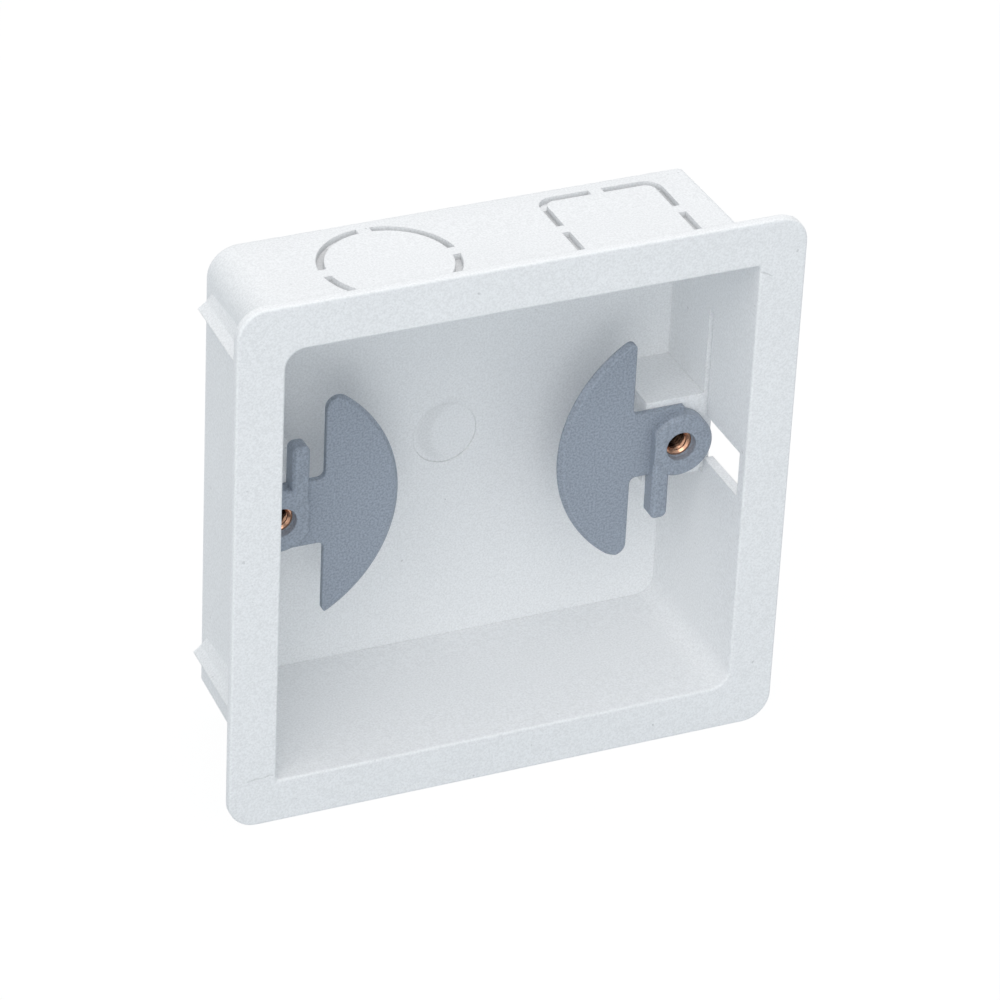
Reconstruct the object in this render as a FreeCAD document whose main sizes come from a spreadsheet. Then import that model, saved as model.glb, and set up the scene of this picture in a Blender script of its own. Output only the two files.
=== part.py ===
"""Drywall back box: a white flanged tray with two grey swing lugs, each holding a brass threaded insert.

Millimetres. +X is to the right seen from the front, +Y goes into the wall, +Z is up.
The origin is the middle of the wall face, on the rear of the flange. The box repeats by a half turn about Y.
Each lug is drawn about its own screw axis with its wing to the left, then placed.
"""
import FreeCAD, Part
import math
import os
import Sketcher

# Sizes that are set by hand: alias, value in millimetres, meaning.
SIZES = [
    ("screw_spacing", 60.3, "between the two faceplate screws"),
    ("axis_to_wall", 4.45, "from a screw axis to the mouth of the tray"),
    ("wall", 1.55, "side walls, at the flange"),
    ("back_wall", 2.2, "back wall"),
    ("body_depth", 26.6, "wall face to the outside of the back"),
    ("draft", 0.6, "taper of each side of the tray, outside"),
    ("room_draft", 0.3, "taper of each side of the tray, inside"),
    ("body_corner", 4.5, "outside radius of the two round corners of the tray"),
    ("edge_corner", 1.1, "outside radius of the two sharp corners of the tray"),
    ("room_corner", 2.9, "inside radius of the two round corners of the tray"),
    ("room_edge", 0.5, "inside radius of the two sharp corners of the tray"),
    ("back_edge", 0.9, "rounding round the back"),
    ("flange_lip", 5.35, "flange beyond the tray"),
    ("flange_thick", 1.3, "flange"),
    ("flange_corner", 4.2, "corner radius of the flange"),
    ("flange_edge", 0.35, "rounding of the front edges of the flange"),
    ("seat_depth", 12.7, "wall face to the front of a lug seat"),
    ("seat_height", 13.0, "lug seat, up and down"),
    ("seat_wall", 1.3, "walls round the hollow of a seat"),
    ("seat_front", 2.0, "front wall of a seat"),
    ("core_clearance", 0.25, "snap rim to the hollow of a seat"),
    ("channel_front", 0.6, "channel in the side wall begins this far behind the wall face"),
    ("channel_tuck", 1.35, "channel in the side wall is this much lower than the boss, each way"),
    ("slot_play", 0.3, "slot in front of the wing"),
    ("slot_end", 0.5, "slot beyond the neck and the wing tip"),
    ("lug_gap", 0.1, "lug to its seat"),
    ("wing_thick", 0.9, "wing and neck"),
    ("wing_clear", 1.0, "wing to the outside of the side wall when swung out"),
    ("wing_width", 11.05, "straight side of the wing to its round side"),
    ("wing_radius", 21.0, "round side of the wing"),
    ("wing_drop", 0.5, "middle of the wing below the screw axis"),
    ("tip_round", 0.9, "upper tip of the wing"),
    ("low_tip_round", 1.8, "lower tip of the wing"),
    ("wing_bevel", 0.6, "bevel along the round side of the wing"),
    ("neck_low", 4.8, "lower edge of the neck below the screw axis"),
    ("neck_high", 5.5, "upper edge of the neck above the screw axis"),
    ("neck_reach", 0.9, "neck beyond the screw axis"),
    ("neck_round", 1.0, "neck into wing"),
    ("boss_radius", 4.9, "boss round the insert"),
    ("boss_length", 2.6, "boss, front to back"),
    ("boss_edge", 0.4, "bevel round the front of the boss and the rib"),
    ("stop_gap", 0.1, "finger rib to the side wall when swung out"),
    ("rib_thick", 2.5, "finger rib"),
    ("rib_length", 11.5, "finger rib below the screw axis"),
    ("rib_round", 0.9, "end of the finger rib"),
    ("insert_radius", 2.1, "outside of the insert"),
    ("insert_length", 4.2, "insert"),
    ("insert_recess", 1.2, "insert below the front of the boss"),
    ("thread_radius", 1.45, "bore of the insert, for an M3.5 thread"),
    ("thread_chamfer", 0.3, "mouth of the thread"),
    ("mouth_play", 0.15, "mouth of the boss beyond the insert"),
    ("spigot_radius", 2.7, "pivot behind the lug"),
    ("pivot_clearance", 0.05, "pivot in its hole"),
    ("snap_lip", 0.35, "snap rim beyond the pivot"),
    ("snap_play", 0.1, "snap rim behind the front wall of the seat"),
    ("snap_length", 0.9, "snap rim"),
    ("slit_width", 0.8, "slit across the pivot"),
    ("screw_hole", 1.85, "radius of the screw passage behind the insert"),
    ("groove_width", 1.1, "knockout grooves"),
    ("groove_depth", 0.9, "knockout grooves"),
    ("web_width", 2.0, "webs that hold the knockouts"),
    ("web_lap", 0.3, "webs into the wall each side of a groove"),
    ("round_offset", 13.6, "round knockout, left of the middle"),
    ("round_depth", 14.4, "round knockout, behind the wall face"),
    ("round_radius", 10.0, "outside of the round groove"),
    ("square_offset", 21.0, "rectangular knockout, right of the middle"),
    ("square_depth", 15.0, "rectangular knockout, behind the wall face"),
    ("square_width", 18.6, "outside of the rectangular groove, across"),
    ("square_length", 18.2, "outside of the rectangular groove, front to back"),
    ("square_corner", 2.6, "outside corners of the rectangular groove"),
    ("wedge_height", 2.0, "wedge ribs beyond the side walls"),
    ("wedge_root", 0.2, "wedge ribs into the side walls"),
    ("wedge_hollow", 0.8, "hollow of a wedge's long slope beyond the side wall"),
    ("wedge_flare", 1.2, "hollow of a wedge above its crest"),
    ("wedge_drop", 4.95, "upper wedge below the top of the tray"),
    ("wedge_rise", 3.4, "long slope of a wedge"),
    ("wedge_return", 1.8, "short slope of a wedge"),
    ("wedge_pitch", 56.2, "between the two wedges of one side"),
    ("wedge_length", 25.4, "wedge behind the wall face"),
    ("wedge_lead", 1.6, "ramp at the back end of a wedge"),
    ("wedge_taper", 8.8, "length over which a wedge narrows before its ramp"),
    ("wedge_narrow", 2.0, "long slope of a wedge where its ramp begins"),
    ("wedge_end", 0.3, "long slope of a wedge at its back end"),
    ("wedge_sink", 0.1, "crest of a wedge within the side wall at its back end"),
    ("dimple_radius", 4.8, "gate mark inside the back"),
    ("dimple_depth", 0.25, "gate mark inside the back"),
]

# Sizes that follow from the others.
DERIVED = [
    ("axis_x", "screw_spacing / 2"),
    ("room_half", "axis_x + axis_to_wall"),
    ("body_half", "room_half + wall"),
    ("flange_half", "body_half + flange_lip"),
    ("room_depth", "body_depth - back_wall"),
    ("back_half", "body_half - draft"),
    ("floor_half", "room_half - room_draft"),
    ("draft_angle", "atan(draft / body_depth) / 1deg"),
    ("snap_radius", "spigot_radius + snap_lip"),
    ("core_half", "snap_radius + core_clearance"),
    ("seat_inner", "axis_x - core_half - seat_wall"),
    ("seat_outer", "room_half + wall / 2"),
    ("seat_half", "seat_height / 2"),
    ("seat_length", "room_depth - seat_depth + back_wall / 2"),
    ("core_inner", "axis_x - core_half"),
    ("core_outer", "axis_x + core_half"),
    ("core_high", "seat_half - seat_wall"),
    ("core_depth", "body_depth - seat_depth - seat_front"),
    ("pivot_radius", "spigot_radius + pivot_clearance"),
    ("plate_rear", "seat_depth - lug_gap"),
    ("plate_front", "plate_rear - wing_thick"),
    ("boss_front", "plate_rear - boss_length"),
    ("boss_shoulder", "boss_front + boss_edge"),
    ("boss_core", "boss_radius - boss_edge"),
    ("flat_depth", "boss_length - wing_thick"),
    ("slot_front", "plate_front - slot_play"),
    ("wing_inset", "axis_to_wall + wall + wing_clear"),
    ("wing_reach", "wing_inset + wing_width"),
    ("wing_centre", "wing_radius - wing_reach"),
    ("wing_tip", "sqrt(wing_radius ^ 2 - (wing_inset + wing_centre) ^ 2)"),
    ("tip_circle", "sqrt(wing_inset ^ 2 + (wing_tip + wing_drop) ^ 2)"),
    ("slot_high", "sqrt(tip_circle ^ 2 - axis_to_wall ^ 2) + slot_end"),
    ("slot_low", "neck_high + slot_end"),
    ("channel_half", "boss_radius - channel_tuck"),
    ("rib_face", "axis_to_wall - room_draft - stop_gap"),
    ("rib_inner", "rib_face - rib_thick"),
    ("flat_reach", "boss_radius + 1"),
    ("neck_end", "wing_inset + 1"),
    ("mouth_radius", "insert_radius + mouth_play"),
    ("insert_front", "boss_front + insert_recess"),
    ("insert_seat", "insert_recess + insert_length"),
    ("snap_start", "seat_depth + seat_front + snap_play"),
    ("spigot_length", "snap_start + snap_length - plate_rear"),
    ("slit_half", "slit_width / 2"),
    ("slit_depth", "snap_length + snap_play + seat_front / 2"),
    ("passage_length", "boss_length + spigot_length"),
    ("round_inner", "round_radius - groove_width"),
    ("web_half", "web_width / 2"),
    ("round_left", "round_offset + round_radius + web_lap"),
    ("round_left_in", "round_offset + round_inner - web_lap"),
    ("round_right", "round_offset - round_radius - web_lap"),
    ("round_right_in", "round_offset - round_inner + web_lap"),
    ("round_web_left", "round_offset + web_half"),
    ("round_web_right", "round_offset - web_half"),
    ("round_front", "round_depth - round_radius - web_lap"),
    ("round_front_in", "round_depth - round_inner + web_lap"),
    ("round_back", "round_depth + round_radius + web_lap"),
    ("round_back_in", "round_depth + round_inner - web_lap"),
    ("round_web_front", "round_depth - web_half"),
    ("round_web_back", "round_depth + web_half"),
    ("square_left", "square_offset - square_width / 2"),
    ("square_right", "square_offset + square_width / 2"),
    ("square_front", "square_depth - square_length / 2"),
    ("square_back", "square_depth + square_length / 2"),
    ("square_left_in", "square_left + groove_width"),
    ("square_right_in", "square_right - groove_width"),
    ("square_front_in", "square_front + groove_width"),
    ("square_back_in", "square_back - groove_width"),
    ("square_corner_in", "square_corner - groove_width"),
    ("square_lap_left", "square_left - web_lap"),
    ("square_lap_right", "square_right + web_lap"),
    ("square_lap_front", "square_front - web_lap"),
    ("square_lap_back", "square_back + web_lap"),
    ("square_lap_left_in", "square_left_in + web_lap"),
    ("square_lap_right_in", "square_right_in - web_lap"),
    ("square_lap_front_in", "square_front_in + web_lap"),
    ("square_lap_back_in", "square_back_in - web_lap"),
    ("square_web_left", "square_offset - web_half"),
    ("square_web_right", "square_offset + web_half"),
    ("square_web_front", "square_depth - web_half"),
    ("square_web_back", "square_depth + web_half"),
    ("wedge_ramp", "wedge_length - wedge_lead"),
    ("wedge_bend", "wedge_ramp - wedge_taper"),
    ("wedge_slope", "draft / body_depth"),
    ("wall_bend", "body_half - wedge_slope * wedge_bend"),
    ("wall_ramp", "body_half - wedge_slope * wedge_ramp"),
    ("wall_end", "body_half - wedge_slope * wedge_length"),
    ("base_front", "body_half - wedge_root"),
    ("base_bend", "wall_bend - wedge_root"),
    ("base_ramp", "wall_ramp - wedge_root"),
    ("base_end", "wall_end - wedge_root"),
    ("hollow_front", "body_half + wedge_hollow"),
    ("hollow_bend", "wall_bend + wedge_hollow"),
    ("hollow_ramp", "wall_ramp + wedge_hollow"),
    ("hollow_end", "wall_end - wedge_sink"),
    ("crest_front", "body_half + wedge_height"),
    ("crest_bend", "wall_bend + wedge_height"),
    ("crest_ramp", "wall_ramp + wedge_height"),
    ("crest_end", "wall_end - wedge_sink"),
    ("high_top", "body_half - wedge_drop"),
    ("high_apex", "high_top - wedge_rise"),
    ("high_flare", "high_apex + wedge_flare"),
    ("high_foot", "high_apex - wedge_return"),
    ("high_narrow", "high_apex + wedge_narrow + wedge_end"),
    ("high_narrow_flare", "high_apex + wedge_narrow / 2"),
    ("high_tail", "high_apex + 2 * wedge_end"),
    ("high_tail_flare", "high_apex + wedge_end"),
    ("low_top", "high_top - wedge_pitch"),
    ("low_apex", "high_apex - wedge_pitch"),
    ("low_flare", "high_flare - wedge_pitch"),
    ("low_foot", "high_foot - wedge_pitch"),
    ("low_narrow", "high_narrow - wedge_pitch"),
    ("low_narrow_flare", "high_narrow_flare - wedge_pitch"),
    ("low_tail", "high_tail - wedge_pitch"),
    ("low_tail_flare", "high_tail_flare - wedge_pitch"),
]

NEAR = 1e-4

doc = FreeCAD.newDocument("drywall_back_box")
sheet = doc.addObject("Spreadsheet::Sheet", "Sizes")


def fill_sheet():
    """Writes every size into an aliased cell."""
    for row, (alias, value, meaning) in enumerate(SIZES, start=1):
        sheet.set(f"A{row}", alias)
        sheet.set(f"B{row}", str(value))
        sheet.setAlias(f"B{row}", alias)
        sheet.set(f"C{row}", meaning)
    for row, (alias, formula) in enumerate(DERIVED, start=len(SIZES) + 2):
        sheet.set(f"A{row}", alias)
        sheet.setAlias(f"B{row}", alias)
        sheet.set(f"B{row}", f"={formula}")
    doc.recompute()


def value(name):
    """Value of an alias, with an optional minus sign; None is zero."""
    if name is None:
        return 0.0
    sign = -1.0 if name.startswith("-") else 1.0
    return sign * float(sheet.get(name.lstrip("-")))


def tie(target, prop, name):
    """Binds a property to an alias."""
    sign = "-" if name.startswith("-") else ""
    target.setExpression(prop, f"{sign}Sizes.{name.lstrip('-')}")


def new_sketch(body, name, role, offset=None):
    """A sketch on one of the body's own planes, set off along the plane's normal."""
    sketch = body.newObject("Sketcher::SketchObject", name)
    planes = [item for item in body.Origin.OriginFeatures if item.Role == role]
    sketch.AttachmentSupport = [(planes[0], "")]
    sketch.MapMode = "FlatFace"
    if offset is not None:
        tie(sketch, "AttachmentOffset.Base.z", offset)
    return sketch


def hold(sketch, kind, geo, point, name):
    """Holds a point at an aliased distance from the origin, along x or y."""
    index = sketch.addConstraint(Sketcher.Constraint(kind, -1, 1, geo, point, value(name)))
    tie(sketch, f"Constraints[{index}]", name)


def pin(sketch, geo, point, x, y):
    """Holds a point at aliased distances from the origin; None puts it on the axis."""
    for kind, axis, name in (("DistanceX", -2, x), ("DistanceY", -1, y)):
        if name is None:
            sketch.addConstraint(Sketcher.Constraint("PointOnObject", geo, point, axis))
        else:
            hold(sketch, kind, geo, point, name)


def fix_radius(sketch, geo, name):
    """Gives a circle or an arc an aliased radius."""
    index = sketch.addConstraint(Sketcher.Constraint("Radius", geo, value(name)))
    tie(sketch, f"Constraints[{index}]", name)


def draw_polygon(sketch, corners):
    """A closed outline of straight lines through aliased corners."""
    points = [FreeCAD.Vector(value(x), value(y), 0) for x, y in corners]
    first = sketch.GeometryCount
    count = len(points)
    for i in range(count):
        sketch.addGeometry(Part.LineSegment(points[i], points[(i + 1) % count]), False)
    for i in range(count):
        sketch.addConstraint(Sketcher.Constraint("Coincident", first + i, 2, first + (i + 1) % count, 1))
    for i, (x, y) in enumerate(corners):
        pin(sketch, first + i, 1, x, y)


def draw_rectangle(sketch, left, right, low, high):
    """A rectangle between aliased sides."""
    draw_polygon(sketch, [(left, low), (right, low), (right, high), (left, high)])


def draw_circle(sketch, x, y, radius):
    """A circle at an aliased place."""
    centre = FreeCAD.Vector(value(x), value(y), 0)
    geo = sketch.addGeometry(Part.Circle(centre, FreeCAD.Vector(0, 0, 1), value(radius)), False)
    pin(sketch, geo, 3, x, y)
    fix_radius(sketch, geo, radius)


def draw_rounded(sketch, left, right, low, high, radius, other=None):
    """A rectangle between aliased sides with round corners; other is the radius of top right and low left."""
    x0, x1, y0, y1 = [value(name) for name in (left, right, low, high)]
    names = [radius, other or radius] * 2
    r = [value(name) for name in names]
    first = sketch.GeometryCount
    ends = [
        ((x0 + r[3], y0), (x1 - r[0], y0)),
        ((x1, y0 + r[0]), (x1, y1 - r[1])),
        ((x1 - r[1], y1), (x0 + r[2], y1)),
        ((x0, y1 - r[2]), (x0, y0 + r[3])),
    ]
    centres = [
        (x1 - r[0], y0 + r[0]), (x1 - r[1], y1 - r[1]), (x0 + r[2], y1 - r[2]), (x0 + r[3], y0 + r[3]),
    ]
    for i in range(4):
        a, b = [FreeCAD.Vector(x, y, 0) for x, y in ends[i]]
        sketch.addGeometry(Part.LineSegment(a, b), False)
        start = (i - 1) * math.pi / 2
        circle = Part.Circle(FreeCAD.Vector(*centres[i], 0), FreeCAD.Vector(0, 0, 1), r[i])
        sketch.addGeometry(Part.ArcOfCircle(circle, start, start + math.pi / 2), False)
    for i in range(4):
        line = first + 2 * i
        arc = line + 1
        sketch.addConstraint(Sketcher.Constraint("Tangent", line, 2, arc, 1))
        sketch.addConstraint(Sketcher.Constraint("Tangent", arc, 2, first + (2 * i + 2) % 8, 1))
        sketch.addConstraint(Sketcher.Constraint("Vertical" if i % 2 else "Horizontal", line))
        fix_radius(sketch, arc, names[i])
    sides = (("DistanceY", low), ("DistanceX", right), ("DistanceY", high), ("DistanceX", left))
    for i, (kind, name) in enumerate(sides):
        hold(sketch, kind, first + 2 * i, 1, name)


def extrude(body, kind, name, sketch, length, flip=False):
    """A pad or a pocket of an aliased length."""
    feature = body.newObject(f"PartDesign::{kind}", name)
    feature.Profile = sketch
    tie(feature, "Length", length)
    feature.Reversed = flip
    sketch.Visibility = False
    doc.recompute()
    return feature


def loft(body, kind, name, sketches):
    """A straight-sided loft through sketches, added or cut."""
    feature = body.newObject(f"PartDesign::{kind}Loft", name)
    feature.Profile = sketches[0]
    feature.Sections = sketches[1:]
    feature.Ruled = True
    for sketch in sketches:
        sketch.Visibility = False
    doc.recompute()
    return feature


def lean(sketch):
    """Tilts a sketch of the top wall to lie on the wall's taper."""
    spot = sketch.AttachmentOffset
    turn = FreeCAD.Rotation(FreeCAD.Vector(1, 0, 0), -value("draft_angle"))
    sketch.AttachmentOffset = FreeCAD.Placement(spot.Base, turn)
    tie(sketch, "AttachmentOffset.Rotation.Angle", "-draft_angle")


def pick_edges(base, wanted):
    """Names of the edges of a feature whose points all pass a test."""
    edges = enumerate(base.Shape.Edges, start=1)
    return [f"Edge{i}" for i, edge in edges if all(wanted(point) for point in edge.discretize(5))]


def round_edges(body, name, base, radius, wanted):
    """Rounds the edges of a feature whose points all pass a test."""
    feature = body.newObject("PartDesign::Fillet", name)
    feature.Base = (base, pick_edges(base, wanted))
    tie(feature, "Radius", radius)
    doc.recompute()
    return feature


def bevel_edges(body, name, base, size, wanted):
    """Bevels the edges of a feature whose points all pass a test."""
    feature = body.newObject("PartDesign::Chamfer", name)
    feature.Base = (base, pick_edges(base, wanted))
    tie(feature, "Size", size)
    doc.recompute()
    return feature


def turn_about_y(body, name, sketch):
    """A full turn of a half section about the screw axis."""
    feature = body.newObject("PartDesign::Revolution", name)
    feature.Profile = sketch
    feature.ReferenceAxis = (sketch, ["V_Axis"])
    feature.Angle = 360
    sketch.Visibility = False
    doc.recompute()
    return feature


def make_box():
    """The white moulding, in wall coordinates."""
    body = doc.addObject("PartDesign::Body", "back_box")
    body.Label = "back_box"

    sketch = new_sketch(body, "flange_outline", "XZ_Plane")
    draw_rounded(sketch, "-flange_half", "flange_half", "-flange_half", "flange_half", "flange_corner")
    flange = extrude(body, "Pad", "flange", sketch, "flange_thick")
    front = -value("flange_thick")
    round_edges(body, "flange_rounding", flange, "flange_edge", lambda p: abs(p.y - front) < NEAR)

    sections = []
    ends = (("tray_front", None, "body_half"), ("tray_back", "-body_depth", "back_half"))
    for name, spot, half in ends:
        sketch = new_sketch(body, name, "XZ_Plane", spot)
        draw_rounded(sketch, f"-{half}", half, f"-{half}", half, "body_corner", "edge_corner")
        sections.append(sketch)
    tray = loft(body, "Additive", "tray", sections)
    back = value("body_depth")
    round_edges(body, "back_rounding", tray, "back_edge", lambda p: abs(p.y - back) < NEAR)

    sections = []
    ends = (("room_mouth", "flange_thick", "room_half"), ("room_floor", "-room_depth", "floor_half"))
    for name, spot, half in ends:
        sketch = new_sketch(body, name, "XZ_Plane", spot)
        draw_rounded(sketch, f"-{half}", half, f"-{half}", half, "room_corner", "room_edge")
        sections.append(sketch)
    room = loft(body, "Subtractive", "room", sections)
    inside = value("room_half") + NEAR
    round_edges(
        body, "mouth_rounding", room, "flange_edge",
        lambda p: abs(p.y - front) < NEAR and abs(p.x) < inside and abs(p.z) < inside,
    )

    sketch = new_sketch(body, "dimple_circle", "XZ_Plane", "-room_depth")
    draw_circle(sketch, None, None, "dimple_radius")
    extrude(body, "Pocket", "dimple", sketch, "dimple_depth")

    # One half of the details; the half turn at the end makes the other half.
    sketch = new_sketch(body, "seat_outline", "XZ_Plane", "-seat_depth")
    draw_rectangle(sketch, "seat_inner", "seat_outer", "-seat_half", "seat_half")
    seat = extrude(body, "Pad", "seat", sketch, "seat_length", flip=True)

    sketch = new_sketch(body, "core_outline", "XZ_Plane", "-body_depth")
    draw_rectangle(sketch, "core_inner", "core_outer", "-core_high", "core_high")
    core = extrude(body, "Pocket", "core", sketch, "core_depth", flip=True)

    sketch = new_sketch(body, "pivot_circle", "XZ_Plane", "-seat_depth")
    draw_circle(sketch, "axis_x", None, "pivot_radius")
    pivot = extrude(body, "Pocket", "pivot_hole", sketch, "core_depth")

    sketch = new_sketch(body, "slot_outline", "YZ_Plane", "axis_x")
    draw_polygon(sketch, [
        ("channel_front", "-channel_half"),
        ("slot_front", "-channel_half"),
        ("slot_front", "-slot_low"),
        ("seat_depth", "-slot_low"),
        ("seat_depth", "slot_high"),
        ("slot_front", "slot_high"),
        ("slot_front", "channel_half"),
        ("channel_front", "channel_half"),
    ])
    slot = extrude(body, "Pocket", "slot", sketch, "wing_reach", flip=True)

    sketch = new_sketch(body, "groove_outline", "XY_Plane", "body_half")
    lean(sketch)
    draw_circle(sketch, "-round_offset", "round_depth", "round_radius")
    draw_circle(sketch, "-round_offset", "round_depth", "round_inner")
    draw_rounded(sketch, "square_left", "square_right", "square_front", "square_back", "square_corner")
    draw_rounded(
        sketch, "square_left_in", "square_right_in", "square_front_in", "square_back_in", "square_corner_in"
    )
    grooves = extrude(body, "Pocket", "grooves", sketch, "groove_depth")

    sketch = new_sketch(body, "web_outline", "XY_Plane", "body_half")
    lean(sketch)
    draw_rectangle(sketch, "-round_left", "-round_left_in", "round_web_front", "round_web_back")
    draw_rectangle(sketch, "-round_right_in", "-round_right", "round_web_front", "round_web_back")
    draw_rectangle(sketch, "-round_web_left", "-round_web_right", "round_front", "round_front_in")
    draw_rectangle(sketch, "-round_web_left", "-round_web_right", "round_back_in", "round_back")
    draw_rectangle(sketch, "square_lap_left", "square_lap_left_in", "square_web_front", "square_web_back")
    draw_rectangle(sketch, "square_lap_right_in", "square_lap_right", "square_web_front", "square_web_back")
    draw_rectangle(sketch, "square_web_left", "square_web_right", "square_lap_front", "square_lap_front_in")
    draw_rectangle(sketch, "square_web_left", "square_web_right", "square_lap_back_in", "square_lap_back")
    webs = extrude(body, "Pad", "webs", sketch, "groove_depth", flip=True)

    wedges = []
    stages = (
        (None, "front", "top", "flare"),
        ("-wedge_bend", "bend", "top", "flare"),
        ("-wedge_ramp", "ramp", "narrow", "narrow_flare"),
        ("-wedge_length", "end", "tail", "tail_flare"),
    )
    for level in ("high", "low"):
        sections = []
        for spot, stage, top, flare in stages:
            sketch = new_sketch(body, f"{level}_wedge_{stage}", "XZ_Plane", spot)
            draw_polygon(sketch, [
                (f"-base_{stage}", f"{level}_{top}"),
                (f"-hollow_{stage}", f"{level}_{flare}"),
                (f"-crest_{stage}", f"{level}_apex"),
                (f"-base_{stage}", f"{level}_foot"),
            ])
            sections.append(sketch)
        wedges.append(loft(body, "Additive", f"{level}_wedge", sections))

    turn = body.newObject("PartDesign::PolarPattern", "half_turn")
    turn.Originals = [seat, core, pivot, slot, grooves, webs, *wedges]
    axes = [item for item in body.Origin.OriginFeatures if item.Role == "Y_Axis"]
    turn.Axis = (axes[0], [""])
    turn.Angle = 360
    turn.Occurrences = 2
    body.Tip = turn
    return body


def make_lug(label, side, turn):
    """One grey lug about its own screw axis, wing to the left, then set in its place."""
    body = doc.addObject("PartDesign::Body", label)
    body.Label = label

    sketch = new_sketch(body, f"{label}_wing_outline", "XZ_Plane", "-plate_front")
    inset, centre = value("wing_inset"), value("wing_centre")
    tip, drop = value("wing_tip"), value("wing_drop")
    foot, head = FreeCAD.Vector(-inset, -tip - drop, 0), FreeCAD.Vector(-inset, tip - drop, 0)
    chord = sketch.addGeometry(Part.LineSegment(foot, head), False)
    angle = math.atan2(tip, -inset - centre)
    circle = Part.Circle(FreeCAD.Vector(centre, -drop, 0), FreeCAD.Vector(0, 0, 1), value("wing_radius"))
    arc = sketch.addGeometry(Part.ArcOfCircle(circle, angle, 2 * math.pi - angle), False)
    sketch.addConstraint(Sketcher.Constraint("Coincident", chord, 2, arc, 1))
    sketch.addConstraint(Sketcher.Constraint("Coincident", chord, 1, arc, 2))
    sketch.addConstraint(Sketcher.Constraint("Vertical", chord))
    pin(sketch, arc, 3, "wing_centre", "-wing_drop")
    fix_radius(sketch, arc, "wing_radius")
    hold(sketch, "DistanceX", chord, 1, "-wing_inset")
    wing = extrude(body, "Pad", f"{label}_wing", sketch, "wing_thick", flip=True)
    plate, radius = value("plate_front"), value("wing_radius")
    bevel = bevel_edges(
        body, f"{label}_bevel", wing, "wing_bevel",
        lambda p: abs(p.y - plate) < NEAR and abs(math.hypot(p.x - centre, p.z + drop) - radius) < NEAR,
    )
    upper = round_edges(
        body, f"{label}_tip", bevel, "tip_round",
        lambda p: abs(p.x + inset) < NEAR and abs(p.z - tip + drop) < NEAR,
    )
    round_edges(
        body, f"{label}_low_tip", upper, "low_tip_round",
        lambda p: abs(p.x + inset) < NEAR and abs(p.z + tip + drop) < NEAR,
    )

    sketch = new_sketch(body, f"{label}_neck_outline", "XZ_Plane", "-plate_front")
    draw_rectangle(sketch, "-neck_end", "neck_reach", "-neck_low", "neck_high")
    neck = extrude(body, "Pad", f"{label}_neck", sketch, "wing_thick", flip=True)
    low, high = -value("neck_low"), value("neck_high")
    round_edges(
        body, f"{label}_neck_rounding", neck, "neck_round",
        lambda p: abs(p.x + inset) < NEAR and (abs(p.z - low) < NEAR or abs(p.z - high) < NEAR),
    )

    sketch = new_sketch(body, f"{label}_rib_outline", "XZ_Plane", "-boss_front")
    draw_rectangle(sketch, "-rib_face", "-rib_inner", "-rib_length", None)
    rib = extrude(body, "Pad", f"{label}_rib", sketch, "boss_length", flip=True)
    end = -value("rib_length")
    sides = (-value("rib_face"), -value("rib_inner"))
    rib = round_edges(
        body, f"{label}_rib_end", rib, "rib_round",
        lambda p: abs(p.z - end) < NEAR and min(abs(p.x - side_x) for side_x in sides) < NEAR,
    )
    front = value("boss_front")
    bevel_edges(body, f"{label}_rib_bevel", rib, "boss_edge", lambda p: abs(p.y - front) < NEAR)

    sketch = new_sketch(body, f"{label}_boss_profile", "XY_Plane")
    draw_polygon(sketch, [
        (None, "boss_front"),
        ("boss_core", "boss_front"),
        ("boss_radius", "boss_shoulder"),
        ("boss_radius", "plate_rear"),
        (None, "plate_rear"),
    ])
    turn_about_y(body, f"{label}_boss", sketch)

    sketch = new_sketch(body, f"{label}_flat_outline", "XZ_Plane", "-boss_front")
    draw_rectangle(sketch, "-flat_reach", "-rib_face", "-flat_reach", "flat_reach")
    extrude(body, "Pocket", f"{label}_flat", sketch, "flat_depth")

    sketch = new_sketch(body, f"{label}_spigot_outline", "XZ_Plane", "-plate_rear")
    draw_circle(sketch, None, None, "spigot_radius")
    extrude(body, "Pad", f"{label}_spigot", sketch, "spigot_length", flip=True)

    sketch = new_sketch(body, f"{label}_snap_outline", "XZ_Plane", "-snap_start")
    draw_circle(sketch, None, None, "snap_radius")
    extrude(body, "Pad", f"{label}_snap", sketch, "snap_length", flip=True)

    sketch = new_sketch(body, f"{label}_passage_circle", "XZ_Plane", "-boss_front")
    draw_circle(sketch, None, None, "screw_hole")
    extrude(body, "Pocket", f"{label}_passage", sketch, "passage_length")

    sketch = new_sketch(body, f"{label}_insert_circle", "XZ_Plane", "-boss_front")
    draw_circle(sketch, None, None, "insert_radius")
    extrude(body, "Pocket", f"{label}_insert_hole", sketch, "insert_seat")

    sketch = new_sketch(body, f"{label}_mouth_circle", "XZ_Plane", "-boss_front")
    draw_circle(sketch, None, None, "mouth_radius")
    extrude(body, "Pocket", f"{label}_mouth", sketch, "insert_recess")

    sketch = new_sketch(body, f"{label}_slit_outline", "XZ_Plane", "-snap_start")
    sketch.setExpression("AttachmentOffset.Base.z", "-(Sizes.snap_start + Sizes.snap_length)")
    draw_rectangle(sketch, "-core_half", "core_half", "-slit_half", "slit_half")
    extrude(body, "Pocket", f"{label}_slit", sketch, "slit_depth", flip=True)

    place(body, side, turn)
    return body


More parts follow.
